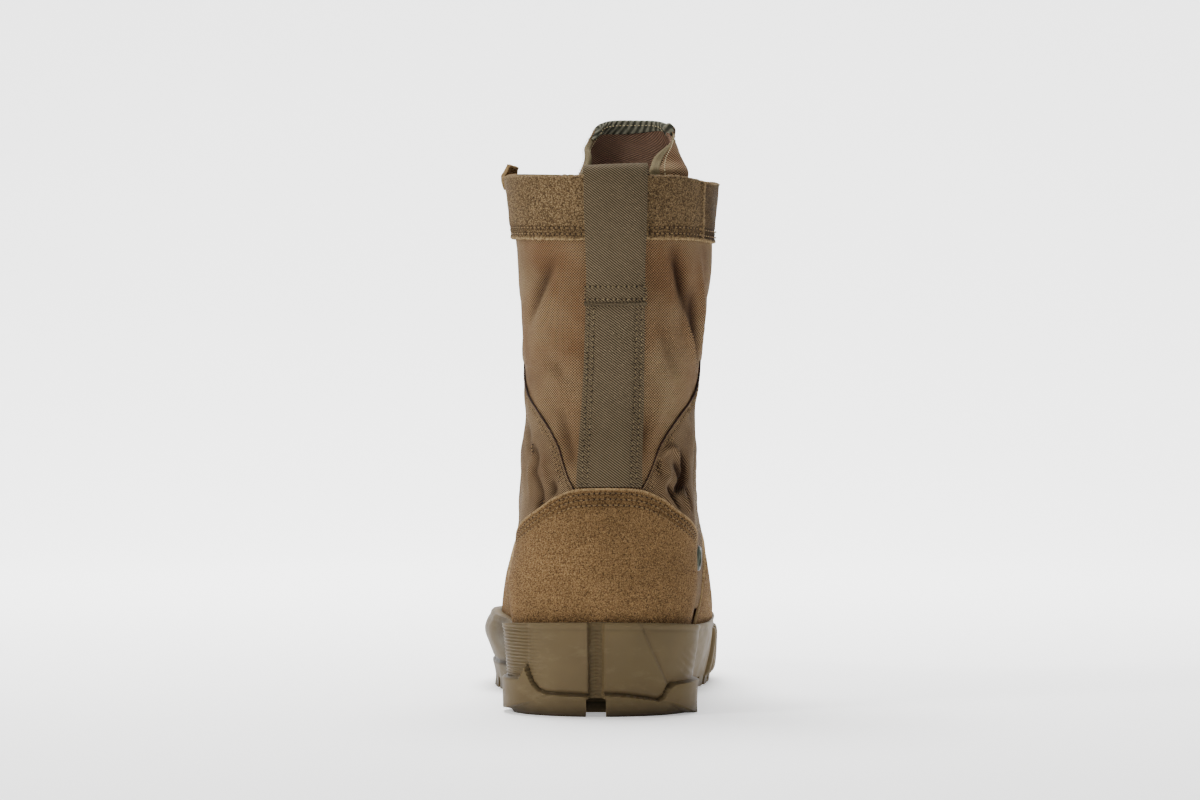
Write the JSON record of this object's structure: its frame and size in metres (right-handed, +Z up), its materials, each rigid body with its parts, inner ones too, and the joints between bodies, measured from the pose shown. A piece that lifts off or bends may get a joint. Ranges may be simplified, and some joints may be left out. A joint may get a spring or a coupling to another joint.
{
  "type": "jungle boot",
  "caption": "Left lace-up jungle boot with a nylon shaft, suede heel and toe, webbing pull tab and lugged rubber cup sole.",
  "frame": {"origin": "centre of the heel on the floor", "axes": "+Y from heel to toe, +X towards the inner side of the foot, +Z up"},
  "size_m": [0.1089, 0.3008, 0.2629],
  "materials": {
    "rubber": "olive-brown moulded rubber, satin",
    "nylon": "coyote-brown woven nylon",
    "suede": "brown rough-out suede",
    "webbing": "olive herringbone webbing",
    "lining": "dark brown mesh lining",
    "lace": "braided cord",
    "metal": "satin grey metal"
  },
  "bodies": {
    "root": {"back_strip": "webbing", "collar_band": "suede", "drain_vent_1": "metal", "drain_vent_2": "metal", "eyelet_lateral_1": "metal", "eyelet_lateral_2": "metal", "eyelet_lateral_3": "metal", "eyelet_lateral_4": "metal", "eyelet_medial_1": "metal", "eyelet_medial_2": "metal", "eyelet_medial_3": "metal", "eyelet_medial_4": "metal", "eyestay_lateral": "suede", "eyestay_medial": "suede", "heel_counter": "suede", "hook_lateral_1": "metal", "hook_lateral_2": "metal", "hook_lateral_3": "metal", "hook_lateral_4": "metal", "hook_medial_1": "metal", "hook_medial_2": "metal", "hook_medial_3": "metal", "hook_medial_4": "metal", "insole": "lining", "lace_bar": "lace", "lace_cross_1": "lace", "lace_cross_2": "lace", "lace_cross_3": "lace", "lace_cross_4": "lace", "lace_cross_5": "lace", "lace_cross_6": "lace", "lace_cross_7": "lace", "outsole": "rubber", "pull_tab": "webbing", "tongue": "nylon", "upper": "nylon", "vamp": "suede"}
  },
  "joints": []
}
